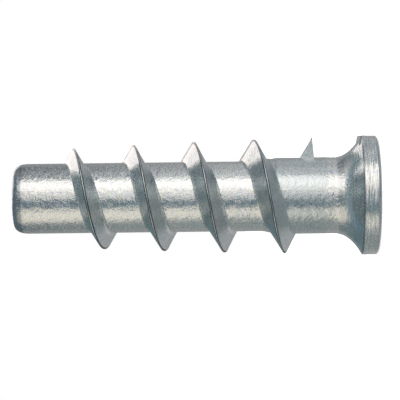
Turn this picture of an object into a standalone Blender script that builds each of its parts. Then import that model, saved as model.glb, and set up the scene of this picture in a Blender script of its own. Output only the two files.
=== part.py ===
"""Screw-in anchor for aerated concrete: one zinc die casting that takes a metric screw.

Units are metres and +Z is up. The anchor stands on its head: the face that the drive key enters lies
on z = 0, the axis is Z, and the nose that goes into the wall first is on top. The die's two halves
part on the plane y = 0. The outer thread ends there, and it starts a little behind that plane.
"""
import math

import bmesh
import bpy
from mathutils import Matrix, Vector

MM = 0.001

# Overall length, from the head face to the nose
LENGTH = 60.0 * MM

# Flange
FLANGE_RADIUS = 9.83 * MM
BAND_HEIGHT = 2.9 * MM
BAND_DRAFT = 0.05 * MM
FACE_ROUNDING_WIDTH = 2.3 * MM
FACE_ROUNDING_HEIGHT = 0.55 * MM
RIM_ROUNDING = 0.15 * MM

# Concave flare between flange and barrel
FLARE_LENGTH = 4.1 * MM
FLARE_KNEE_OUT = 0.4 * MM
FLARE_KNEE_HEIGHT = 1.7 * MM

# Barrel: thicker behind the outer thread, slimmer towards the nose
REAR_RADIUS = 6.25 * MM
BARREL_RADIUS = 5.73 * MM
REAR_SHOULDER_Z = 16.5 * MM
SLIM_SHOULDER_Z = 19.5 * MM
NOSE_ROUNDING_LENGTH = 2.0 * MM
NOSE_ROUNDING_DEPTH = 1.25 * MM

# Outer thread: single start, right hand, knife edged, deeper towards the head. The flank that faces
# the head is steep at the parting plane and lies back between, so that both die halves draw off it
THREAD_START_Z = 50.15 * MM
THREAD_PITCH = 9.9 * MM
THREAD_TURNS = 4
THREAD_LEAD = math.radians(30.0)
CREST_START_RADIUS = 8.22 * MM
CREST_END_RADIUS = 9.52 * MM
CREST_EASE = 1.5
CREST_WIDTH = 0.12 * MM
NOSE_FLANK_ANGLE = math.radians(30.0)
HEAD_FLANK_PARTING_ANGLE = math.radians(23.0)
HEAD_FLANK_OPEN_BASE = 1.8 * MM
ROOT_FILLET = 0.45 * MM
FILLET_END_SLOPE = math.radians(12.0)
ROOT_SINK = 0.1 * MM
ROOT_OVERLAP = 0.45 * MM

# Flat face that ends the thread towards the head, and how far its edge stays above it
THREAD_CUT_Z = 10.5 * MM
THREAD_END_LAND = 0.35 * MM

# Pad on the flange where the metal entered the die: a low oval block at the parting plane
GATE_PAD_TOP_Z = 3.35 * MM
GATE_PAD_DEPTH = 2.4 * MM
GATE_PAD_HALF_WIDTH = 4.2 * MM
GATE_PAD_INSET = 0.06 * MM

# Hexagon drive socket in the head face
SOCKET_ACROSS_FLATS = 8.0 * MM
SOCKET_DEPTH = 8.0 * MM
SOCKET_CHAMFER = 0.25 * MM

# Bore for the metric screw, drawn at its minor diameter: the fine thread is not cut
BORE_RADIUS = 3.4 * MM
LEAD_IN_RADIUS = 3.8 * MM
LEAD_IN_HALF_ANGLE = math.radians(60.0)
NOSE_CHAMFER = 0.5 * MM

# Facets, and how far a cutter runs past the face that it opens
BODY_STEPS = 60
BORE_STEPS = 30
THREAD_STEPS = 60
ARC_STEPS = 6
FILLET_STEPS = 2
CUT_OVERRUN = 1.0 * MM
MERGE_DISTANCE = 0.01 * MM

ZINC_COLOUR = (0.56, 0.57, 0.58, 1.0)
ZINC_ROUGHNESS = 0.34
ZINC_METALLIC = 1.0


def clear_scene():
    """Removes every object, so that the file starts empty."""
    for obj in list(bpy.data.objects):
        bpy.data.objects.remove(obj, do_unlink=True)


def new_collection(name):
    """Adds a collection to the scene."""
    collection = bpy.data.collections.new(name)
    bpy.context.scene.collection.children.link(collection)
    return collection


def zinc_material():
    """Bare cast zinc with a thin bright passivation."""
    material = bpy.data.materials.new("cast_zinc")
    material.use_nodes = True
    shader = material.node_tree.nodes["Principled BSDF"]
    shader.inputs["Base Color"].default_value = ZINC_COLOUR
    shader.inputs["Roughness"].default_value = ZINC_ROUGHNESS
    shader.inputs["Metallic"].default_value = ZINC_METALLIC
    return material


def hide(obj):
    """Marks an object that is only joined to the body or cut from it."""
    obj.hide_render = True
    obj.display_type = "WIRE"


def turned(name, profile, steps, collection):
    """Solid of revolution about Z from (radius, height) points that run down the outside."""
    mesh = bpy.data.meshes.new(name)
    edges = [(index, index + 1) for index in range(len(profile) - 1)]
    mesh.from_pydata([(radius, 0.0, z) for radius, z in profile], edges, [])
    obj = bpy.data.objects.new(name, mesh)
    collection.objects.link(obj)
    screw = obj.modifiers.new("turn", "SCREW")
    screw.axis = "Z"
    screw.angle = math.tau
    screw.steps = steps
    screw.render_steps = steps
    screw.use_merge_vertices = True
    screw.merge_threshold = MERGE_DISTANCE
    return obj


def smoothstep(value):
    """Eases from 0 to 1."""
    value = min(max(value, 0.0), 1.0)
    return value * value * (3.0 - 2.0 * value)


def barrel_radius(z):
    """Barrel radius at a height: slim towards the nose, thicker next to the flare."""
    ease = smoothstep((SLIM_SHOULDER_Z - z) / (SLIM_SHOULDER_Z - REAR_SHOULDER_Z))
    return BARREL_RADIUS + (REAR_RADIUS - BARREL_RADIUS) * ease


def nose_points():
    """Rounded edge of the nose, from its flat end down to the barrel."""
    centre_r = BARREL_RADIUS - NOSE_ROUNDING_DEPTH
    centre_z = LENGTH - NOSE_ROUNDING_LENGTH
    points = []
    for step in range(ARC_STEPS + 1):
        angle = math.pi / 2.0 * (1.0 - step / ARC_STEPS)
        points.append((
            centre_r + NOSE_ROUNDING_DEPTH * math.cos(angle),
            centre_z + NOSE_ROUNDING_LENGTH * math.sin(angle)))
    return points


def shoulder_points():
    """Barrel where it thickens, from the slim part to the rear part."""
    drop = SLIM_SHOULDER_Z - REAR_SHOULDER_Z
    heights = [SLIM_SHOULDER_Z - drop * step / ARC_STEPS for step in range(ARC_STEPS + 1)]
    return [(barrel_radius(z), z) for z in heights]


def flare_points():
    """Concave flare: leaves the barrel almost along its side and bends out to the flange."""
    start = Vector((REAR_RADIUS, BAND_HEIGHT + FLARE_LENGTH))
    end = Vector((FLANGE_RADIUS - RIM_ROUNDING, BAND_HEIGHT))
    knee = Vector((REAR_RADIUS + FLARE_KNEE_OUT, BAND_HEIGHT + FLARE_KNEE_HEIGHT))
    points = []
    for step in range(ARC_STEPS + 1):
        t = step / ARC_STEPS
        points.append(start * (1.0 - t) ** 2 + knee * 2.0 * t * (1.0 - t) + end * t ** 2)
    return [(point.x, point.y) for point in points]


def flange_points():
    """Flange band, from its small edge at the flare to its rounded edge at the head face."""
    centre_r = FLANGE_RADIUS - BAND_DRAFT - FACE_ROUNDING_WIDTH
    points = [(FLANGE_RADIUS, BAND_HEIGHT - RIM_ROUNDING)]
    for step in range(ARC_STEPS + 1):
        angle = math.pi / 2.0 * step / ARC_STEPS
        points.append((
            centre_r + FACE_ROUNDING_WIDTH * math.cos(angle),
            FACE_ROUNDING_HEIGHT * (1.0 - math.sin(angle))))
    return points


def turned_body(collection):
    """Nose, barrel, flare and flange in one turned form."""
    profile = [(0.0, LENGTH)] + nose_points() + shoulder_points()
    profile += flare_points() + flange_points() + [(0.0, 0.0)]
    body = turned("anchor_body", profile, BODY_STEPS, collection)
    body.data.materials.append(zinc_material())
    return body


def crest_radius(progress):
    """Radius of the thread's edge, from 0 at the nose end of the thread to 1 at its head end."""
    ease = 1.0 - (1.0 - progress) ** CREST_EASE
    return CREST_START_RADIUS + (CREST_END_RADIUS - CREST_START_RADIUS) * ease


def nose_flank_base(depth, opening):
    """Width of the flank towards the nose at its root: the same angle all the way round."""
    return math.tan(NOSE_FLANK_ANGLE) * depth


def head_flank_base(depth, opening):
    """Width of the flank towards the head at its root; opening is 0 on the parting plane, else up to 1."""
    parting_base = math.tan(HEAD_FLANK_PARTING_ANGLE) * depth
    return parting_base + (HEAD_FLANK_OPEN_BASE - parting_base) * opening


def flank(crest, centre_z, opening, side, base_rule):
    """One flank as (radius, height) points from the crest down; side is +1 towards the nose.

    It runs straight to its root fillet. The fillet stops a little short of running level with the
    barrel, and the outline then goes on at that slope until it is under the barrel's surface.
    """
    root = barrel_radius(centre_z + side * (crest - BARREL_RADIUS))
    width = base_rule(crest - root, opening)
    angle = math.atan2(width, crest - root)
    base = CREST_WIDTH / 2.0 + width
    middle_r = root + ROOT_FILLET
    middle_d = base + ROOT_FILLET / math.tan((math.pi / 2.0 + angle) / 2.0)
    first = math.pi + angle
    last = 1.5 * math.pi - FILLET_END_SLOPE
    outline = [(crest, CREST_WIDTH / 2.0)]
    for step in range(FILLET_STEPS + 1):
        turn = first + (last - first) * step / FILLET_STEPS
        outline.append((middle_r + ROOT_FILLET * math.sin(turn), middle_d + ROOT_FILLET * math.cos(turn)))
    end_r, end_d = outline[-1]
    sunk_d = end_d + (end_r - root + ROOT_SINK) / math.tan(FILLET_END_SLOPE)
    outline += [(root - ROOT_SINK, sunk_d), (root - ROOT_OVERLAP, sunk_d)]
    return [(r, centre_z + side * d) for r, d in outline]


def thread_section(progress):
    """Closed outline of the ridge as (radius, height) points at one place along the thread."""
    crest = crest_radius(progress)
    opening = abs(math.sin(math.tau * THREAD_TURNS * progress))
    helix_z = THREAD_START_Z - THREAD_PITCH * THREAD_TURNS * progress
    centre_z = max(helix_z, THREAD_CUT_Z + THREAD_END_LAND)
    nose_side = flank(crest, centre_z, opening, 1.0, nose_flank_base)
    head_side = flank(crest, centre_z, opening, -1.0, head_flank_base)
    return [(r, max(z, THREAD_CUT_Z)) for r, z in nose_side[::-1] + head_side]


def thread_ridge(collection):
    """The outer thread: outlines along a helix, skinned, with flat ends."""
    mesh = bmesh.new()
    count = THREAD_STEPS * THREAD_TURNS
    lead = round(THREAD_LEAD / math.tau * THREAD_STEPS)
    rings = []
    for index in range(-lead, count + 1):
        angle = -math.tau * index / THREAD_STEPS
        outline = thread_section(index / count)
        rings.append([mesh.verts.new((r * math.cos(angle), r * math.sin(angle), z)) for r, z in outline])
    for near, far in zip(rings, rings[1:]):
        for corner, vertex in enumerate(near):
            following = (corner + 1) % len(near)
            mesh.faces.new((vertex, near[following], far[following], far[corner]))
    mesh.faces.new(rings[0][::-1])
    mesh.faces.new(rings[-1])
    bmesh.ops.recalc_face_normals(mesh, faces=mesh.faces)
    data = bpy.data.meshes.new("thread_ridge")
    mesh.to_mesh(data)
    mesh.free()
    ridge = bpy.data.objects.new("thread_ridge", data)
    collection.objects.link(ridge)
    return ridge


def gate_pad(collection):
    """Oval block on the flange's flare side at +X, flush with the flange's edge."""
    low_z = BAND_HEIGHT / 2.0
    middle_x = FLANGE_RADIUS - GATE_PAD_INSET - GATE_PAD_DEPTH
    shape = Matrix.Diagonal((GATE_PAD_DEPTH, GATE_PAD_HALF_WIDTH, 1.0, 1.0))
    mesh = bmesh.new()
    bmesh.ops.create_cone(
        mesh, cap_ends=True, segments=BORE_STEPS, radius1=1.0, radius2=1.0, depth=GATE_PAD_TOP_Z - low_z,
        matrix=Matrix.Translation((middle_x, 0.0, (low_z + GATE_PAD_TOP_Z) / 2.0)) @ shape)
    data = bpy.data.meshes.new("gate_pad")
    mesh.to_mesh(data)
    mesh.free()
    pad = bpy.data.objects.new("gate_pad", data)
    collection.objects.link(pad)
    return pad


def socket_cutter(collection):
    """Six-sided prism for the drive key, with its flats facing +Y and -Y."""
    corner_radius = SOCKET_ACROSS_FLATS / math.sqrt(3.0)
    middle_z = (SOCKET_DEPTH - CUT_OVERRUN) / 2.0
    mesh = bmesh.new()
    bmesh.ops.create_cone(
        mesh, cap_ends=True, segments=6, radius1=corner_radius, radius2=corner_radius,
        depth=SOCKET_DEPTH + CUT_OVERRUN,
        matrix=Matrix.Translation((0.0, 0.0, middle_z)) @ Matrix.Rotation(math.pi / 6.0, 4, "Z"))
    data = bpy.data.meshes.new("drive_socket")
    mesh.to_mesh(data)
    mesh.free()
    cutter = bpy.data.objects.new("drive_socket", data)
    collection.objects.link(cutter)
    return cutter


def chamfer_cutter(collection):
    """Round 45 degree chamfer that takes the socket's corners down at the head face."""
    outer = SOCKET_ACROSS_FLATS / math.sqrt(3.0) + SOCKET_CHAMFER
    profile = [(0.0, outer), (outer + CUT_OVERRUN, -CUT_OVERRUN), (0.0, -CUT_OVERRUN)]
    return turned("socket_chamfer", profile, BODY_STEPS, collection)


def bore_cutter(collection):
    """Bore from the socket's floor to the nose, with a lead-in cone and a chamfered exit."""
    lead_in_top = SOCKET_DEPTH + (LEAD_IN_RADIUS - BORE_RADIUS) / math.tan(LEAD_IN_HALF_ANGLE)
    profile = [
        (0.0, LENGTH + CUT_OVERRUN),
        (BORE_RADIUS + NOSE_CHAMFER + CUT_OVERRUN, LENGTH + CUT_OVERRUN),
        (BORE_RADIUS, LENGTH - NOSE_CHAMFER),
        (BORE_RADIUS, lead_in_top),
        (LEAD_IN_RADIUS, SOCKET_DEPTH),
        (LEAD_IN_RADIUS, SOCKET_DEPTH - CUT_OVERRUN),
        (0.0, SOCKET_DEPTH - CUT_OVERRUN),
    ]
    return turned("screw_bore", profile, BORE_STEPS, collection)


def combine(body, tool, operation):
    """Joins a tool object to the body, or cuts it away, and hides the tool."""
    boolean = body.modifiers.new(tool.name, "BOOLEAN")
    boolean.operation = operation
    boolean.solver = "EXACT"
    boolean.object = tool
    hide(tool)


def main():
    clear_scene()
    parts = new_collection("aerated_concrete_anchor")
    helpers = new_collection("anchor_helpers")
    body = turned_body(parts)
    combine(body, thread_ridge(helpers), "UNION")
    combine(body, gate_pad(helpers), "UNION")
    combine(body, socket_cutter(helpers), "DIFFERENCE")
    combine(body, chamfer_cutter(helpers), "DIFFERENCE")
    combine(body, bore_cutter(helpers), "DIFFERENCE")


main()
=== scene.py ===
"""Looks of the aerated concrete anchor: its cast form in full detail, zinc finish, studio and camera.

The anchor stands on its head in the model's frame (metres, +Z from head to nose). The photograph
shows it lying on its side, so the camera is level and rolled a quarter turn: its left is +Z, its top
is +X, and it looks along +Y. Angles round the axis start at +X and go towards the camera.
"""
import math

import bmesh
import bpy
from mathutils import Matrix, Vector


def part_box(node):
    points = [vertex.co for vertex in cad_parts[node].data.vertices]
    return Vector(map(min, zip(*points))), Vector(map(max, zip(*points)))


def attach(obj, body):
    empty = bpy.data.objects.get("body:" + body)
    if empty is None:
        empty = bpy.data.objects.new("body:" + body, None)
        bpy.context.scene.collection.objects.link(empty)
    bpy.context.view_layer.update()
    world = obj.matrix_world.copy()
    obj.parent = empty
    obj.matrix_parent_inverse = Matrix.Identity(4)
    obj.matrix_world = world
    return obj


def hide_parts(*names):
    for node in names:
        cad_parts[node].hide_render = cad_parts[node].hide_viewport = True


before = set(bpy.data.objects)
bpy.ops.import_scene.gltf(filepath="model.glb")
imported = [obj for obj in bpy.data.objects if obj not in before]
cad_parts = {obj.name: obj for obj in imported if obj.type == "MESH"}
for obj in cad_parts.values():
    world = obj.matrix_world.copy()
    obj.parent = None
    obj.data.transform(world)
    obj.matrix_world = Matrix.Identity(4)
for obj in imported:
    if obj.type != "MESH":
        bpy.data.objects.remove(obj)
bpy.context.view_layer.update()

MM = 0.001

# The casting's sizes, as in the solid model
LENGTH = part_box("anchor_body")[1][2]
FLANGE_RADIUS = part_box("anchor_body")[1][0]
BAND_HEIGHT = 2.9 * MM
BAND_DRAFT = 0.05 * MM
FACE_ROUNDING_WIDTH = 2.3 * MM
FACE_ROUNDING_HEIGHT = 0.55 * MM
RIM_ROUNDING = 0.15 * MM
FLARE_LENGTH = 4.1 * MM
FLARE_KNEE_OUT = 0.4 * MM
FLARE_KNEE_HEIGHT = 1.7 * MM
REAR_RADIUS = 6.25 * MM
BARREL_RADIUS = 5.73 * MM
REAR_SHOULDER_Z = 16.5 * MM
SLIM_SHOULDER_Z = 19.5 * MM
NOSE_ROUNDING_LENGTH = 2.0 * MM
NOSE_ROUNDING_DEPTH = 1.25 * MM
THREAD_START_Z = 50.15 * MM
THREAD_PITCH = 9.9 * MM
THREAD_TURNS = 4
THREAD_LEAD = math.radians(30.0)
CREST_START_RADIUS = 8.22 * MM
CREST_END_RADIUS = 9.52 * MM
CREST_EASE = 1.5
CREST_WIDTH = 0.12 * MM
CREST_DROP_SHARE = 0.12
NOSE_FLANK_ANGLE = math.radians(30.0)
HEAD_FLANK_PARTING_ANGLE = math.radians(23.0)
HEAD_FLANK_OPEN_BASE = 1.8 * MM
ROOT_FILLET = 0.45 * MM
FILLET_END_SLOPE = math.radians(6.0)
ROOT_SINK = 0.1 * MM
ROOT_OVERLAP = 0.45 * MM
THREAD_CUT_Z = 10.5 * MM
THREAD_END_LAND = 0.35 * MM
GATE_PAD_TOP_Z = 3.35 * MM
GATE_PAD_DEPTH = 2.4 * MM
GATE_PAD_HALF_WIDTH = 4.2 * MM
GATE_PAD_INSET = 0.06 * MM
SOCKET_ACROSS_FLATS = 8.0 * MM
SOCKET_DEPTH = 8.0 * MM
SOCKET_CHAMFER = 0.25 * MM
BORE_RADIUS = 3.4 * MM
LEAD_IN_RADIUS = 3.8 * MM
LEAD_IN_HALF_ANGLE = math.radians(60.0)
NOSE_CHAMFER = 0.5 * MM

# The metric thread in the bore
SCREW_PITCH = 1.25 * MM
SCREW_MAJOR_RADIUS = 3.98 * MM
SCREW_GROOVE_WIDTH = 1.0 * MM
SCREW_GROOVE_LAND = 0.16 * MM
SCREW_GROOVE_LIP = 0.12 * MM

# Seam where the two halves of the die met, with a small fin on top between two heights
SEAM_HALF_WIDTH = 0.07 * MM
SEAM_HEIGHT = 0.03 * MM
SEAM_FIN_LOW_Z = 8.1 * MM
SEAM_FIN_HIGH_Z = 11.4 * MM
SEAM_FIN_EASE = 1.65 * MM
SEAM_FIN_HEIGHT = 0.19 * MM

# Fineness of the mesh: steps round or along each form, and the longest and the last row of the body
BODY_STEPS = 192
THREAD_STEPS = 192
BORE_STEPS = 72
SCREW_STEPS = 36
NOSE_STEPS = 14
SHOULDER_STEPS = 16
FLARE_STEPS = 24
EDGE_STEPS = 8
FILLET_STEPS = 6
ROW_LENGTH = 0.8 * MM
BAND_END_ROW = 0.05 * MM
SHARP_ANGLE = math.radians(28.0)
CUT_OVERRUN = 1.0 * MM


def link(name, mesh):
    """Makes an object of a bmesh and puts it in the scene."""
    data = bpy.data.meshes.new(name)
    mesh.to_mesh(data)
    mesh.free()
    obj = bpy.data.objects.new(name, data)
    bpy.context.scene.collection.objects.link(obj)
    return obj


def smoothstep(value):
    """Eases from 0 to 1."""
    value = min(max(value, 0.0), 1.0)
    return value * value * (3.0 - 2.0 * value)


def barrel_radius(z):
    """Barrel radius at a height: slim towards the nose, thicker next to the flare."""
    ease = smoothstep((SLIM_SHOULDER_Z - z) / (SLIM_SHOULDER_Z - REAR_SHOULDER_Z))
    return BARREL_RADIUS + (REAR_RADIUS - BARREL_RADIUS) * ease


def nose_points():
    """Rounded edge of the nose, from its flat end down to the barrel."""
    centre_r = BARREL_RADIUS - NOSE_ROUNDING_DEPTH
    centre_z = LENGTH - NOSE_ROUNDING_LENGTH
    points = []
    for step in range(NOSE_STEPS + 1):
        angle = math.pi / 2.0 * (1.0 - step / NOSE_STEPS)
        points.append((
            centre_r + NOSE_ROUNDING_DEPTH * math.cos(angle),
            centre_z + NOSE_ROUNDING_LENGTH * math.sin(angle)))
    return points


def shoulder_points():
    """Barrel where it thickens, from the slim part to the rear part."""
    drop = SLIM_SHOULDER_Z - REAR_SHOULDER_Z
    heights = [SLIM_SHOULDER_Z - drop * step / SHOULDER_STEPS for step in range(SHOULDER_STEPS + 1)]
    return [(barrel_radius(z), z) for z in heights]


def flare_points():
    """Concave flare: leaves the barrel almost along its side and bends out to the flange."""
    start = Vector((REAR_RADIUS, BAND_HEIGHT + FLARE_LENGTH))
    end = Vector((FLANGE_RADIUS - RIM_ROUNDING, BAND_HEIGHT))
    knee = Vector((REAR_RADIUS + FLARE_KNEE_OUT, BAND_HEIGHT + FLARE_KNEE_HEIGHT))
    points = []
    for step in range(FLARE_STEPS + 1):
        t = step / FLARE_STEPS
        points.append(start * (1.0 - t) ** 2 + knee * 2.0 * t * (1.0 - t) + end * t ** 2)
    return [(point.x, point.y) for point in points]


def flange_points():
    """Flange band, from its small edge at the flare to its rounded edge at the head face."""
    centre_r = FLANGE_RADIUS - BAND_DRAFT - FACE_ROUNDING_WIDTH
    points = [
        (FLANGE_RADIUS, BAND_HEIGHT - RIM_ROUNDING),
        (centre_r + FACE_ROUNDING_WIDTH, FACE_ROUNDING_HEIGHT + BAND_END_ROW),
    ]
    for step in range(EDGE_STEPS + 1):
        angle = math.pi / 2.0 * step / EDGE_STEPS
        points.append((
            centre_r + FACE_ROUNDING_WIDTH * math.cos(angle),
            FACE_ROUNDING_HEIGHT * (1.0 - math.sin(angle))))
    return points


def revolve(name, profile, angles, shape=None):
    """Closed mesh of (radius, height) points turned about Z; the profile starts and ends on the axis.

    shape, if given, changes the radius by the height and the angle.
    """
    mesh = bmesh.new()
    rows = []
    for radius, z in profile[1:-1]:
        row = []
        for angle in angles:
            reach = radius + (shape(radius, z, angle) if shape else 0.0)
            row.append(mesh.verts.new((reach * math.cos(angle), reach * math.sin(angle), z)))
        rows.append(row)
    first = mesh.verts.new((0.0, 0.0, profile[0][1]))
    last = mesh.verts.new((0.0, 0.0, profile[-1][1]))
    count = len(angles)
    for index in range(count):
        following = (index + 1) % count
        mesh.faces.new((first, rows[0][index], rows[0][following]))
        mesh.faces.new((last, rows[-1][following], rows[-1][index]))
        for upper, lower in zip(rows, rows[1:]):
            mesh.faces.new((upper[index], lower[index], lower[following], upper[following]))
    bmesh.ops.recalc_face_normals(mesh, faces=mesh.faces)
    return link(name, mesh)


def even_angles(steps):
    """Angles evenly round a circle."""
    return [math.tau * step / steps for step in range(steps)]


def body_angles():
    """Angles round the body, with extra ones on both sides of the seam at +X and -X."""
    angles = even_angles(BODY_STEPS)
    width = SEAM_HALF_WIDTH / BARREL_RADIUS
    for middle in (0.0, math.pi):
        angles += [(middle - width) % math.tau, middle + width]
    return sorted(angles)


def seam_height(radius, z, angle):
    """How far the die's seam stands up: a hair along the barrel, and a small fin on top."""
    on_seam = abs(math.sin(angle)) < 1e-6
    between_ends = FACE_ROUNDING_HEIGHT <= z <= LENGTH - NOSE_ROUNDING_LENGTH
    on_barrel = between_ends and radius <= REAR_RADIUS + SEAM_FIN_HEIGHT
    if not on_seam or not on_barrel:
        return 0.0
    if math.cos(angle) < 0.0:
        return SEAM_HEIGHT
    inside = min(z - SEAM_FIN_LOW_Z, SEAM_FIN_HIGH_Z - z)
    return SEAM_HEIGHT + (SEAM_FIN_HEIGHT - SEAM_HEIGHT) * smoothstep(inside / SEAM_FIN_EASE)


def rows_between(points, longest):
    """Adds points on the straight stretches that are longer than that."""
    dense = [points[0]]
    for start, end in zip(points, points[1:]):
        count = max(1, math.ceil(math.dist(start, end) / longest))
        for step in range(1, count + 1):
            t = step / count
            dense.append((start[0] + (end[0] - start[0]) * t, start[1] + (end[1] - start[1]) * t))
    return dense


def casting_body():
    """Nose, barrel, flare and flange."""
    outline = nose_points() + shoulder_points() + flare_points() + flange_points()
    profile = [(0.0, LENGTH)] + rows_between(outline, ROW_LENGTH) + [(0.0, 0.0)]
    return revolve("anchor_casting", profile, body_angles(), seam_height)


def crest_radius(progress):
    """Radius of the thread's edge, from 0 at the nose end of the thread to 1 at its head end."""
    ease = 1.0 - (1.0 - progress) ** CREST_EASE
    return CREST_START_RADIUS + (CREST_END_RADIUS - CREST_START_RADIUS) * ease


def nose_flank_base(depth, opening):
    """Width of the flank towards the nose at its root: the same angle all the way round."""
    return math.tan(NOSE_FLANK_ANGLE) * depth


def head_flank_base(depth, opening):
    """Width of the flank towards the head at its root; opening is 0 on the seam, else up to 1."""
    parting_base = math.tan(HEAD_FLANK_PARTING_ANGLE) * depth
    return parting_base + (HEAD_FLANK_OPEN_BASE - parting_base) * opening


def flank(crest, centre_z, opening, side, base_rule):
    """One flank as (radius, height) points from the crest down; side is +1 towards the nose."""
    root = barrel_radius(centre_z + side * (crest - BARREL_RADIUS))
    width = base_rule(crest - root, opening)
    angle = math.atan2(width, crest - root)
    base = CREST_WIDTH / 2.0 + width
    middle_r = root + ROOT_FILLET
    middle_d = base + ROOT_FILLET / math.tan((math.pi / 2.0 + angle) / 2.0)
    first = math.pi + angle
    last = 1.5 * math.pi - FILLET_END_SLOPE
    outline = [(crest, 0.0), (crest - CREST_WIDTH * CREST_DROP_SHARE, CREST_WIDTH / 2.0)]
    for step in range(FILLET_STEPS + 1):
        turn = first + (last - first) * step / FILLET_STEPS
        outline.append((middle_r + ROOT_FILLET * math.sin(turn), middle_d + ROOT_FILLET * math.cos(turn)))
    end_r, end_d = outline[-1]
    sunk_d = end_d + (end_r - root + ROOT_SINK) / math.tan(FILLET_END_SLOPE)
    outline += [(root - ROOT_SINK, sunk_d), (root - ROOT_OVERLAP, sunk_d)]
    return [(r, centre_z + side * d) for r, d in outline]


def thread_section(progress):
    """Closed outline of the ridge as (radius, height) points at one place along the thread."""
    crest = crest_radius(progress)
    opening = abs(math.sin(math.tau * THREAD_TURNS * progress))
    helix_z = THREAD_START_Z - THREAD_PITCH * THREAD_TURNS * progress
    centre_z = max(helix_z, THREAD_CUT_Z + THREAD_END_LAND)
    nose_side = flank(crest, centre_z, opening, 1.0, nose_flank_base)
    head_side = flank(crest, centre_z, opening, -1.0, head_flank_base)
    return [(r, max(z, THREAD_CUT_Z)) for r, z in nose_side[:0:-1] + head_side]


def skin(name, rings):
    """Closed mesh over rings of points, with a flat cap at each end."""
    mesh = bmesh.new()
    rings = [[mesh.verts.new(point) for point in ring] for ring in rings]
    for near, far in zip(rings, rings[1:]):
        for corner, vertex in enumerate(near):
            following = (corner + 1) % len(near)
            mesh.faces.new((vertex, near[following], far[following], far[corner]))
    mesh.faces.new(rings[0][::-1])
    mesh.faces.new(rings[-1])
    bmesh.ops.recalc_face_normals(mesh, faces=mesh.faces)
    return link(name, mesh)


def thread_ridge():
    """The outer thread, from the nose down, right handed."""
    count = THREAD_STEPS * THREAD_TURNS
    lead = round(THREAD_LEAD / math.tau * THREAD_STEPS)
    rings = []
    for index in range(-lead, count + 1):
        angle = -math.tau * index / THREAD_STEPS
        rings.append([
            (r * math.cos(angle), r * math.sin(angle), z) for r, z in thread_section(index / count)])
    return skin("thread_ridge", rings)


def gate_pad():
    """Oval block on the flange's flare side at +X, flush with the flange's edge."""
    middle_x = FLANGE_RADIUS - GATE_PAD_INSET - GATE_PAD_DEPTH
    heights = (BAND_HEIGHT / 2.0, GATE_PAD_TOP_Z)
    outline = [
        (middle_x + GATE_PAD_DEPTH * math.cos(a), GATE_PAD_HALF_WIDTH * math.sin(a))
        for a in even_angles(BODY_STEPS)]
    return skin("gate_pad", [[(x, y, z) for x, y in outline] for z in heights])


def drive_socket():
    """Six-sided prism for the drive key."""
    corner_radius = SOCKET_ACROSS_FLATS / math.sqrt(3.0)
    heights = (-CUT_OVERRUN, SOCKET_DEPTH)
    outline = [(corner_radius * math.cos(a), corner_radius * math.sin(a)) for a in even_angles(6)]
    return skin("drive_socket", [[(x, y, z) for x, y in outline] for z in heights])


def socket_chamfer():
    """Round 45 degree chamfer at the mouth of the socket."""
    outer = SOCKET_ACROSS_FLATS / math.sqrt(3.0) + SOCKET_CHAMFER
    profile = [(0.0, outer), (outer + CUT_OVERRUN, -CUT_OVERRUN), (0.0, -CUT_OVERRUN)]
    return revolve("socket_chamfer", profile, even_angles(BORE_STEPS * 2))


def screw_bore():
    """Bore from the socket's floor to the nose, with a lead-in cone and a chamfered exit."""
    lead_in_top = SOCKET_DEPTH + (LEAD_IN_RADIUS - BORE_RADIUS) / math.tan(LEAD_IN_HALF_ANGLE)
    profile = [
        (0.0, LENGTH + CUT_OVERRUN),
        (BORE_RADIUS + NOSE_CHAMFER + CUT_OVERRUN, LENGTH + CUT_OVERRUN),
        (BORE_RADIUS, LENGTH - NOSE_CHAMFER),
        (BORE_RADIUS, lead_in_top),
        (LEAD_IN_RADIUS, SOCKET_DEPTH),
        (LEAD_IN_RADIUS, SOCKET_DEPTH - CUT_OVERRUN),
        (0.0, SOCKET_DEPTH - CUT_OVERRUN),
    ]
    return revolve("screw_bore", profile, even_angles(BORE_STEPS))


def screw_groove():
    """The metric thread's groove: a helix whose section is a blunt V, inside the bore's wall."""
    low_z = SOCKET_DEPTH - SCREW_PITCH / 2.0
    turns = (LENGTH + SCREW_PITCH / 2.0 - low_z) / SCREW_PITCH
    half = SCREW_GROOVE_WIDTH / 2.0
    land = SCREW_GROOVE_LAND / 2.0
    inner = BORE_RADIUS - SCREW_GROOVE_LIP
    section = [(inner, -half), (SCREW_MAJOR_RADIUS, -land), (SCREW_MAJOR_RADIUS, land), (inner, half)]
    rings = []
    for index in range(int(turns * SCREW_STEPS) + 1):
        angle = math.tau * index / SCREW_STEPS
        z = low_z + SCREW_PITCH * index / SCREW_STEPS
        rings.append([(r * math.cos(angle), r * math.sin(angle), z + d) for r, d in section])
    return skin("screw_groove", rings)


def combine(body, tool, operation):
    """Joins a tool to the body, or cuts it away, and removes the tool."""
    step = body.modifiers.new(tool.name, "BOOLEAN")
    step.operation = operation
    step.solver = "MANIFOLD"
    step.object = tool
    bpy.context.view_layer.update()
    evaluated = body.evaluated_get(bpy.context.evaluated_depsgraph_get())
    result = bpy.data.meshes.new_from_object(evaluated)
    body.modifiers.clear()
    body.data = result
    bpy.data.objects.remove(tool, do_unlink=True)


def casting():
    """The whole anchor as one closed mesh."""
    body = casting_body()
    combine(body, thread_ridge(), "UNION")
    combine(body, gate_pad(), "UNION")
    combine(body, drive_socket(), "DIFFERENCE")
    combine(body, socket_chamfer(), "DIFFERENCE")
    combine(body, screw_bore(), "DIFFERENCE")
    combine(body, screw_groove(), "DIFFERENCE")
    body.data.shade_smooth()
    body.data.set_sharp_from_angle(angle=SHARP_ANGLE)
    return body


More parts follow.
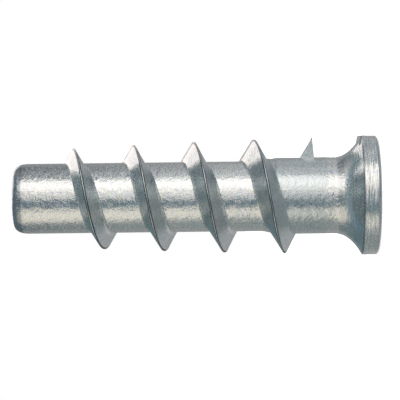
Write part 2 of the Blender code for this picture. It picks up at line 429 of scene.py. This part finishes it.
class Nodes:
    """Small helper that adds and links shader nodes."""

    def __init__(self, tree):
        self.tree = tree
        tree.nodes.clear()

    def add(self, kind, **settings):
        """Adds a node and gives it its settings, such as a math node's operation."""
        node = self.tree.nodes.new(kind)
        for key, value in settings.items():
            setattr(node, key, value)
        return node

    def put(self, socket, value):
        """Links the input to a socket, or sets it to a value."""
        if isinstance(value, bpy.types.NodeSocket):
            self.tree.links.new(value, socket)
        else:
            socket.default_value = value

    def feed(self, node, **inputs):
        """Sets or links the node's inputs by name, with _ for a space."""
        for key, value in inputs.items():
            self.put(node.inputs[key.replace("_", " ")], value)
        return node

    def math(self, operation, first, second, clamp=False):
        """Result of a sum of two values or sockets."""
        node = self.add("ShaderNodeMath", operation=operation, use_clamp=clamp)
        self.put(node.inputs[0], first)
        self.put(node.inputs[1], second)
        return node.outputs["Value"]

    def between(self, value, limits, results):
        """Maps a value from its limits to the results, which may be sockets."""
        node = self.feed(self.add("ShaderNodeMapRange"), Value=value, From_Min=limits[0], From_Max=limits[1],
                         To_Min=results[0], To_Max=results[1])
        return node.outputs["Result"]

    def stretched(self, vector, factors):
        """The vector with each of its parts times a factor."""
        node = self.feed(self.add("ShaderNodeVectorMath", operation="MULTIPLY"), Vector=vector)
        node.inputs[1].default_value = factors
        return node.outputs["Vector"]

    def noise(self, vector, scale, detail):
        """Cloudy noise between about 0.3 and 0.7."""
        node = self.feed(self.add("ShaderNodeTexNoise"), Vector=vector, Scale=scale, Detail=detail)
        return node.outputs["Fac"]

    def blend(self, share, colour, shade):
        """The colour where the share is 0, and the shade where it is 1."""
        node = self.add("ShaderNodeMix", data_type="RGBA")
        self.put(node.inputs[0], share)
        self.put(node.inputs[6], colour)
        self.put(node.inputs[7], (*shade, 1.0))
        return node.outputs[2]


# Zinc: faint casts of its tint, each with its place in the noise, and specks between dark and light
TINTS = (
    (0.32, (0.68, 0.70, 0.745)),
    (0.44, (0.755, 0.73, 0.74)),
    (0.54, (0.775, 0.765, 0.715)),
    (0.67, (0.685, 0.74, 0.73)),
)
TINT_SCALE = 1500.0
SPECK_SCALE = 2600.0
SPECKS = (0.86, 1.12)
SPECK_NOISE = (0.34, 0.66)
METAL_SHARE = 0.94

# Roughness in spots from shiny to dull, and two grains of the cast skin with their scale and depth
GLOSS_SCALE = 2600.0
GLOSS_NOISE = (0.3, 0.7)
ROUGHNESS = (0.12, 0.35)
COARSE_GRAIN = (1300.0, 0.000070)
FINE_GRAIN = (4000.0, 0.000032)

# The head's skin is drawn out around the axis, up to a height on the flare
HEAD_STREAK = 0.12
HEAD_FINENESS = 1.4
STREAK_LOW_Z = 4.6 * MM
STREAK_HIGH_Z = 6.4 * MM

# The thread's flanks are smoother, with painted shade: darker flanks, lighter on the side that faces the
# head, and a dark line on each side of the crest
# Painted shade on the thread's flanks and on the flare
FLANK_PAINTED_SHADE = (0.51, 0.575, 0.59)
FLANK_ROUGHNESS = 0.21
FLANK_GRAIN_SHARE = 0.6
FLANK_REACH = (BARREL_RADIUS + 0.35 * MM, BARREL_RADIUS + 0.75 * MM)
FLANK_LOW_Z = REAR_SHOULDER_Z / 2.0
# Painted shade on the flanks that face the head, lighter than on those that face the nose
HEAD_FLANK_PAINTED_SHADE = (0.63, 0.65, 0.66)
HEAD_FLANK_ROUGHNESS = 0.42
HEAD_FLANK_FACING = (-0.05, 0.05)
# Painted shade: dark lines beside the thread's edge
CREST_PAINTED_SHADE = (0.06, 0.065, 0.07)
CREST_LINE_DEPTH = 0.30 * MM
CREST_LINE_EASE = 0.7
CREST_LAND = (0.015 * MM, 0.020 * MM)

# Painted shade: a darker flare, dark lines at both edges of the flange's band, and a darker rounding at the
# nose
FLARE_REACH = (REAR_RADIUS + 0.7 * MM, REAR_RADIUS + 2.0 * MM)
FLARE_END_REACH = (FLANGE_RADIUS - 0.3 * MM, FLANGE_RADIUS - 0.2 * MM)
# Painted shade: dark lines at the flange's corner and next to the head face
HEAD_EDGE_PAINTED_SHADE = (0.34, 0.37, 0.39)
BAND_LINE_REACH = (FLANGE_RADIUS - 0.45 * MM, FLANGE_RADIUS - 0.3 * MM)
BAND_LINE_LOW = (BAND_HEIGHT - 0.15 * MM, BAND_HEIGHT - 0.10 * MM)
BAND_LINE_HIGH = (BAND_HEIGHT + 0.10 * MM, BAND_HEIGHT + 0.15 * MM)
FACE_LINE_LOW = (0.01 * MM, 0.02 * MM)
FACE_LINE_HIGH = (FACE_ROUNDING_HEIGHT * 0.6, FACE_ROUNDING_HEIGHT)
# Painted shade on the nose's rounding and end
NOSE_PAINTED_SHADE = (0.40, 0.42, 0.44)
NOSE_EDGE_LOW = (LENGTH - 1.6 * MM, LENGTH - 1.4 * MM)


def crest_shade_line_mask(kit, reach, height, above_flare):
    """Where painted shade goes beside the thread's edge, found by how far below the edge a point is."""
    thread_end_z = THREAD_START_Z - THREAD_PITCH * THREAD_TURNS
    rest = kit.math("POWER", kit.between(height, (thread_end_z, THREAD_START_Z), (0.0, 1.0)), CREST_EASE)
    crest = kit.between(rest, (0.0, 1.0), (CREST_END_RADIUS, CREST_START_RADIUS))
    below_crest = kit.math("SUBTRACT", crest, reach)
    off_land = kit.between(below_crest, CREST_LAND, (0.0, above_flare))
    return kit.between(below_crest, (CREST_LINE_DEPTH * CREST_LINE_EASE, CREST_LINE_DEPTH), (off_land, 0.0))


def head_shade_masks(kit, reach, height, above_flare):
    """Where shade is painted on the head: the flare, the line at the flange's corner and the line next to the
    head face.
    """
    below = kit.between(above_flare, (0.0, 1.0), (kit.between(reach, FLARE_END_REACH, (1.0, 0.0)), 0.0))
    flare = kit.between(reach, FLARE_REACH, (0.0, below))
    on_band = kit.between(reach, BAND_LINE_REACH, (0.0, 1.0))
    band_shade_line = kit.between(height, BAND_LINE_LOW, (0.0, kit.between(height, BAND_LINE_HIGH, (on_band, 0.0))))
    off_face = kit.between(height, FACE_LINE_LOW, (0.0, 1.0))
    face_shade_line = kit.between(height, FACE_LINE_HIGH, (off_face, 0.0))
    return flare, band_shade_line, face_shade_line


def tint_ramp(kit, share):
    """Faint casts of colour along the share."""
    ramp = kit.add("ShaderNodeValToRGB")
    stops = ramp.color_ramp.elements
    stops[0].position, stops[0].color = TINTS[0][0], (*TINTS[0][1], 1.0)
    stops[1].position, stops[1].color = TINTS[-1][0], (*TINTS[-1][1], 1.0)
    for position, colour in TINTS[1:-1]:
        stops.new(position).color = (*colour, 1.0)
    return kit.feed(ramp, Fac=share).outputs["Color"]


def zinc_material():
    """Die-cast zinc with a thin bright passivation: mottled, satin, faintly tinted, with painted shade on the
    thread, flare, flange edges and nose.
    """
    material = bpy.data.materials.new("zinc")
    material.use_nodes = True
    kit = Nodes(material.node_tree)
    surface = kit.add("ShaderNodeTexCoord")
    place = surface.outputs["Object"]
    level = kit.stretched(place, (1.0, 1.0, 0.0))
    reach = kit.feed(kit.add("ShaderNodeVectorMath", operation="LENGTH"), Vector=level).outputs["Value"]
    height = kit.feed(kit.add("ShaderNodeSeparateXYZ"), Vector=place).outputs["Z"]
    facing = kit.feed(kit.add("ShaderNodeSeparateXYZ"), Vector=surface.outputs["Normal"]).outputs["Z"]
    around = kit.stretched(place, (HEAD_STREAK, HEAD_STREAK, 1.0))

    def skin_noise(scale, detail):
        """Noise with no direction on the barrel and drawn out around the axis on the head."""
        streaks = kit.noise(around, scale * HEAD_FINENESS, detail)
        return kit.between(height, (STREAK_LOW_Z, STREAK_HIGH_Z), (streaks, kit.noise(place, scale, detail)))

    # Masks for painted shade; the flank mask also gives the flanks their own roughness and grain
    above_flare = kit.between(height, (FLANK_LOW_Z, FLANK_LOW_Z + MM), (0.0, 1.0))
    flank = kit.between(reach, FLANK_REACH, (0.0, above_flare))
    # Painted shade picked by facing: flanks whose normal points towards the head
    head_flank_shade = kit.between(facing, HEAD_FLANK_FACING, (flank, 0.0))
    crest_shade_line = crest_shade_line_mask(kit, reach, height, above_flare)
    flare, band_shade_line, face_shade_line = head_shade_masks(kit, reach, height, above_flare)
    nose_shade = kit.between(height, NOSE_EDGE_LOW, (0.0, 1.0))

    colour = tint_ramp(kit, kit.noise(place, TINT_SCALE, 3.0))
    # Each mask blends a painted shade over the zinc's own tints
    casts = (
        (flank, FLANK_PAINTED_SHADE),
        (head_flank_shade, HEAD_FLANK_PAINTED_SHADE),
        (crest_shade_line, CREST_PAINTED_SHADE),
        (flare, FLANK_PAINTED_SHADE),
        (band_shade_line, HEAD_EDGE_PAINTED_SHADE),
        (face_shade_line, HEAD_EDGE_PAINTED_SHADE),
        (nose_shade, NOSE_PAINTED_SHADE),
    )
    for mask, shade in casts:
        colour = kit.blend(mask, colour, shade)
    specks = kit.between(skin_noise(SPECK_SCALE, 5.0), SPECK_NOISE, SPECKS)
    specked = kit.feed(kit.add("ShaderNodeVectorMath", operation="SCALE"), Vector=colour, Scale=specks)

    cast_gloss = kit.between(kit.noise(place, GLOSS_SCALE, 2.0), GLOSS_NOISE, ROUGHNESS)
    flank_gloss = kit.between(facing, HEAD_FLANK_FACING, (HEAD_FLANK_ROUGHNESS, FLANK_ROUGHNESS))
    gloss = kit.between(flank, (0.0, 1.0), (cast_gloss, flank_gloss))
    grain = kit.between(flank, (0.0, 1.0), (1.0, FLANK_GRAIN_SHARE))
    coarse = kit.feed(kit.add("ShaderNodeBump"), Strength=grain, Distance=COARSE_GRAIN[1],
                      Height=skin_noise(COARSE_GRAIN[0], 2.0))
    fine = kit.feed(kit.add("ShaderNodeBump"), Strength=grain, Distance=FINE_GRAIN[1],
                    Height=skin_noise(FINE_GRAIN[0], 3.0), Normal=coarse.outputs["Normal"])
    shader = kit.feed(kit.add("ShaderNodeBsdfPrincipled"), Base_Color=specked.outputs["Vector"],
                      Metallic=METAL_SHARE, Roughness=gloss, Normal=fine.outputs["Normal"])
    kit.feed(kit.add("ShaderNodeOutputMaterial"), Surface=shader.outputs["BSDF"])
    return material


# The photograph's frame, and places read from it, in its own pixels
FRAME_PIXELS = 400.0
HEAD_FACE_X = 378.1
PIXEL_SIZE = 0.165 * MM
PERSPECTIVE_FOOT_X = 230.0
AXIS_MIDDLE_Y = 196.85
AXIS_TILT = math.radians(0.67)
CAMERA_DISTANCE = 315.0 * MM
SENSOR_WIDTH = 36.0


def add_camera():
    """Camera of the photograph: level, rolled so that the anchor's nose is at the left."""
    middle = FRAME_PIXELS / 2.0
    target = Vector(((AXIS_MIDDLE_Y - middle) * PIXEL_SIZE, 0.0, (HEAD_FACE_X - middle) * PIXEL_SIZE))
    place = Vector((target.x, -CAMERA_DISTANCE, (HEAD_FACE_X - PERSPECTIVE_FOOT_X) * PIXEL_SIZE))
    forward = (target - place).normalized()
    up = Vector((math.cos(AXIS_TILT), 0.0, -math.sin(AXIS_TILT)))
    up = (up - forward * up.dot(forward)).normalized()
    right = forward.cross(up)
    data = bpy.data.cameras.new("camera")
    data.sensor_width = SENSOR_WIDTH
    data.lens = SENSOR_WIDTH * CAMERA_DISTANCE / (FRAME_PIXELS * PIXEL_SIZE)
    data.clip_start = 0.01
    camera = bpy.data.objects.new("camera", data)
    rotation = Matrix((right, up, -forward)).transposed()
    camera.matrix_world = Matrix.Translation(place) @ rotation.to_4x4()
    bpy.context.scene.collection.objects.link(camera)
    bpy.context.scene.camera = camera
    return camera


# The studio that the metal mirrors: a round wall above and below the floor, a lid and a base, with cards
# on the wall, each a little in front of the one before. A card has its angles from +X towards the camera
# in degrees, at its foot and at its top, its two heights, and its tone at the foot and at the top
WALL_RADIUS = 420.0 * MM
WALL_HEIGHT = 420.0 * MM
CARD_GAP = 2.0 * MM
LOW_Z = -190.0 * MM
RIM_Z = -150.0 * MM
FOOT_Z = -22.0 * MM
REAR_Z = 14.0 * MM
NOSE_Z = 84.0 * MM
KEY_Z = 125.0 * MM
HIGH_Z = 190.0 * MM
WALL_TONE = (0.14, 0.21, 0.23)
CARDS = (
    ("back_card", (222, 315), (222, 315), (-WALL_HEIGHT, 140.0 * MM), (0.66, 0.66, 0.66), (0.26, 0.28, 0.29)),
    ("low_card", (140, 222), (140, 222), (LOW_Z, HIGH_Z), (0.19, 0.23, 0.23), (0.38, 0.43, 0.43)),
    ("nose_shade", (140, 222), (140, 222), (NOSE_Z, HIGH_Z), (0.13, 0.17, 0.19), (0.13, 0.17, 0.19)),
    ("dark_foot", (76, 130), (76, 130), (LOW_Z, FOOT_Z), (0.13, 0.19, 0.22), (0.13, 0.19, 0.22)),
    ("dark_card", (80, 130), (80, 130), (FOOT_Z, HIGH_Z), (0.16, 0.25, 0.31), (0.06, 0.11, 0.14)),
    ("warm_foot", (127, 153), (127, 153), (RIM_Z, FOOT_Z), (0.44, 0.44, 0.40), (0.48, 0.48, 0.43)),
    ("warm_card", (129, 152), (124, 182), (FOOT_Z, KEY_Z), (0.98, 0.98, 0.92), (1.10, 1.04, 0.92)),
    ("top_foot", (-45, 23), (-45, 23), (LOW_Z, FOOT_Z), (0.25, 0.30, 0.35), (0.25, 0.30, 0.35)),
    ("top_card", (-45, -5), (-45, -5), (FOOT_Z, KEY_Z), (0.71, 0.74, 0.75), (0.02, 0.05, 0.08)),
    ("side_card", (-5, 29), (-5, 29), (FOOT_Z, KEY_Z), (1.08, 1.12, 1.13), (0.02, 0.06, 0.09)),
    ("key_foot", (33, 78), (30, 78), (RIM_Z, FOOT_Z), (0.92, 0.90, 0.86), (1.17, 1.14, 1.09)),
    ("key_card", (27, 63), (29, 63), (FOOT_Z, KEY_Z), (1.95, 1.95, 1.93), (1.36, 1.34, 1.29)),
    ("key_edge", (63, 100), (63, 89), (FOOT_Z, KEY_Z), (1.12, 1.12, 1.10), (0.98, 0.96, 0.92)),
    ("key_rear", (63, 109), (63, 101), (FOOT_Z, REAR_Z), (1.12, 1.12, 1.10), (1.11, 1.10, 1.08)),
    ("top_high", (-45, -5), (-45, -5), (KEY_Z, WALL_HEIGHT), (0.10, 0.14, 0.17), (0.45, 0.47, 0.47)),
    ("side_high", (-5, 29), (-5, 29), (KEY_Z, WALL_HEIGHT), (0.12, 0.16, 0.19), (0.85, 0.87, 0.87)),
    ("key_high", (29, 63), (29, 63), (KEY_Z, WALL_HEIGHT), (1.35, 1.33, 1.29), (1.60, 1.58, 1.53)),
    ("edge_high", (63, 86), (63, 86), (KEY_Z, WALL_HEIGHT), (0.60, 0.60, 0.59), (0.90, 0.90, 0.88)),
    ("dark_high", (86, 126), (86, 126), (KEY_Z, WALL_HEIGHT), (0.13, 0.19, 0.22), (0.13, 0.19, 0.22)),
    ("warm_high", (126, 182), (126, 182), (KEY_Z, WALL_HEIGHT), (0.70, 0.68, 0.60), (0.75, 0.73, 0.66)),
    ("high_card", (-96, -60), (-96, -60), (140.0 * MM, WALL_HEIGHT), (1.72, 1.50, 1.43), (1.72, 1.50, 1.43)),
)
LID_TONE = (0.17, 0.26, 0.305)
LID_CARD_X = (-20.0 * MM, 190.0 * MM)
LID_CARD_Y = (90.0 * MM, 415.0 * MM)
LID_CARD_TONE = (1.72, 1.50, 1.43)
BASE_TONE = (0.46, 0.53, 0.55)
MIDDLE_RADIUS = 170.0 * MM
LID_MIDDLE_TONE = (0.12, 0.18, 0.21)
BASE_MIDDLE_TONE = (0.14, 0.16, 0.17)
CARD_STEP_DEGREES = 4.0
CIRCLE_STEPS = 96

# The floor, the lamp and the world's light, which is softer than the white that it shows
FLOOR_HALF_WIDTH = 3.0
FLOOR_TONE = (0.85, 0.85, 0.85, 1.0)
FLOOR_GLOW = (0.75, 0.75, 0.75, 1.0)
LAMP_SIZE = 0.4
LAMP_POWER = 3.0
LAMP_PLACE = Vector((0.25, -0.25, 0.5))
LAMP_TARGET = Vector((0.0, 0.0, 0.02))
WHITE = (1.0, 1.0, 1.0, 1.0)
WORLD_LIGHT = 0.5


def glow_material(name, low_z, high_z, low_tone, high_tone):
    """Glowing surface whose tone changes from one height to another."""
    material = bpy.data.materials.new(name)
    material.use_nodes = True
    kit = Nodes(material.node_tree)
    place = kit.add("ShaderNodeNewGeometry").outputs["Position"]
    height = kit.feed(kit.add("ShaderNodeSeparateXYZ"), Vector=place).outputs["Z"]
    ramp = kit.add("ShaderNodeValToRGB")
    ramp.color_ramp.elements[0].color = (*low_tone, 1.0)
    ramp.color_ramp.elements[1].color = (*high_tone, 1.0)
    kit.feed(ramp, Fac=kit.between(height, (low_z, high_z), (0.0, 1.0)))
    glow = kit.feed(kit.add("ShaderNodeEmission"), Color=ramp.outputs["Color"], Strength=1.0)
    kit.feed(kit.add("ShaderNodeOutputMaterial"), Surface=glow.outputs["Emission"])
    return material


def mirrored_only(obj, material):
    """Finishes a card of the studio, which shows in the metal and nowhere else."""
    obj.data.materials.append(material)
    obj.visible_camera = False
    obj.visible_shadow = False
    obj.visible_diffuse = False


def curved_card(name, foot_angles, top_angles, heights, radius, low_tone, high_tone):
    """Upright strip of a cylinder round the anchor; its angles may change from its foot to its top."""
    mesh = bmesh.new()
    count = max(2, math.ceil((foot_angles[1] - foot_angles[0]) / CARD_STEP_DEGREES))
    columns = []
    for step in range(count + 1):
        column = []
        for (start, end), z in zip((foot_angles, top_angles), heights):
            angle = math.radians(start + (end - start) * step / count)
            column.append(mesh.verts.new((radius * math.cos(angle), -radius * math.sin(angle), z)))
        columns.append(column)
    for near, far in zip(columns, columns[1:]):
        mesh.faces.new((near[0], far[0], far[1], near[1]))
    mirrored_only(link(name, mesh), glow_material(name, *heights, low_tone, high_tone))


def circle(radius):
    """Corners of a disc round the axis."""
    return [(radius * math.cos(angle), radius * math.sin(angle)) for angle in even_angles(CIRCLE_STEPS)]


def flat_card(name, corners, z, tone):
    """Level card from its corners."""
    mesh = bmesh.new()
    mesh.faces.new([mesh.verts.new((x, y, z)) for x, y in corners])
    mirrored_only(link(name, mesh), glow_material(name, z - MM, z + MM, tone, tone))


def add_studio():
    """Round wall with its cards, lid, base, floor and lamp."""
    whole_turn = (-180, 180)
    heights = (-WALL_HEIGHT, WALL_HEIGHT)
    curved_card("studio_wall", whole_turn, whole_turn, heights, WALL_RADIUS, WALL_TONE, WALL_TONE)
    for index, (name, foot_angles, top_angles, heights, low_tone, high_tone) in enumerate(CARDS):
        radius = WALL_RADIUS - CARD_GAP * (index + 1)
        curved_card(name, foot_angles, top_angles, heights, radius, low_tone, high_tone)
    flat_card("studio_lid", circle(WALL_RADIUS), WALL_HEIGHT, LID_TONE)
    flat_card("studio_base", circle(WALL_RADIUS), -WALL_HEIGHT, BASE_TONE)
    flat_card("lid_middle", circle(MIDDLE_RADIUS), WALL_HEIGHT - CARD_GAP, LID_MIDDLE_TONE)
    flat_card("base_middle", circle(MIDDLE_RADIUS), CARD_GAP - WALL_HEIGHT, BASE_MIDDLE_TONE)
    corners = [(LID_CARD_X[i], LID_CARD_Y[j]) for i, j in ((0, 0), (1, 0), (1, 1), (0, 1))]
    flat_card("lid_card", corners, WALL_HEIGHT - CARD_GAP * 2.0, LID_CARD_TONE)

    mesh = bmesh.new()
    bmesh.ops.create_grid(mesh, x_segments=1, y_segments=1, size=FLOOR_HALF_WIDTH)
    floor = link("floor", mesh)
    floor.data.materials.append(floor_material())
    floor.visible_glossy = False

    lamp = bpy.data.lights.new("softbox", "AREA")
    lamp.shape = "RECTANGLE"
    lamp.size = LAMP_SIZE
    lamp.size_y = LAMP_SIZE
    lamp.energy = LAMP_POWER
    holder = bpy.data.objects.new("softbox", lamp)
    holder.location = LAMP_PLACE
    holder.rotation_euler = (LAMP_TARGET - LAMP_PLACE).to_track_quat("-Z", "Y").to_euler()
    holder.visible_camera = False
    holder.visible_glossy = False
    bpy.context.scene.collection.objects.link(holder)


def floor_material():
    """Pale matt floor that reads as white to the camera and keeps the anchor's shadow."""
    material = bpy.data.materials.new("floor")
    material.use_nodes = True
    kit = Nodes(material.node_tree)
    matt = kit.feed(kit.add("ShaderNodeBsdfDiffuse"), Color=FLOOR_TONE)
    light_path = kit.add("ShaderNodeLightPath")
    seen = light_path.outputs["Is Camera Ray"]
    glow = kit.feed(kit.add("ShaderNodeEmission"), Color=FLOOR_GLOW, Strength=seen)
    both = kit.add("ShaderNodeAddShader")
    kit.put(both.inputs[0], matt.outputs["BSDF"])
    kit.put(both.inputs[1], glow.outputs["Emission"])
    kit.feed(kit.add("ShaderNodeOutputMaterial"), Surface=both.outputs["Shader"])
    return material


def set_world():
    """White to the camera and in reflections, softer as a light."""
    world = bpy.data.worlds.new("studio")
    bpy.context.scene.world = world
    world.use_nodes = True
    kit = Nodes(world.node_tree)
    rays = kit.add("ShaderNodeLightPath").outputs
    seen = kit.math("ADD", rays["Is Camera Ray"], rays["Is Glossy Ray"])
    shown = kit.math("ADD", seen, rays["Is Transmission Ray"], clamp=True)
    strength = kit.between(shown, (0.0, 1.0), (WORLD_LIGHT, 1.0))
    glow = kit.feed(kit.add("ShaderNodeBackground"), Color=WHITE, Strength=strength)
    kit.feed(kit.add("ShaderNodeOutputWorld"), Surface=glow.outputs["Background"])


def main():
    """The anchor in its zinc, then the studio, the world and the camera."""
    anchor = casting()
    anchor.data.materials.clear()
    anchor.data.materials.append(zinc_material())
    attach(anchor, "root")
    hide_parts("anchor_body")
    add_studio()
    set_world()
    add_camera()
    bpy.context.scene.view_settings.view_transform = "Standard"


main()
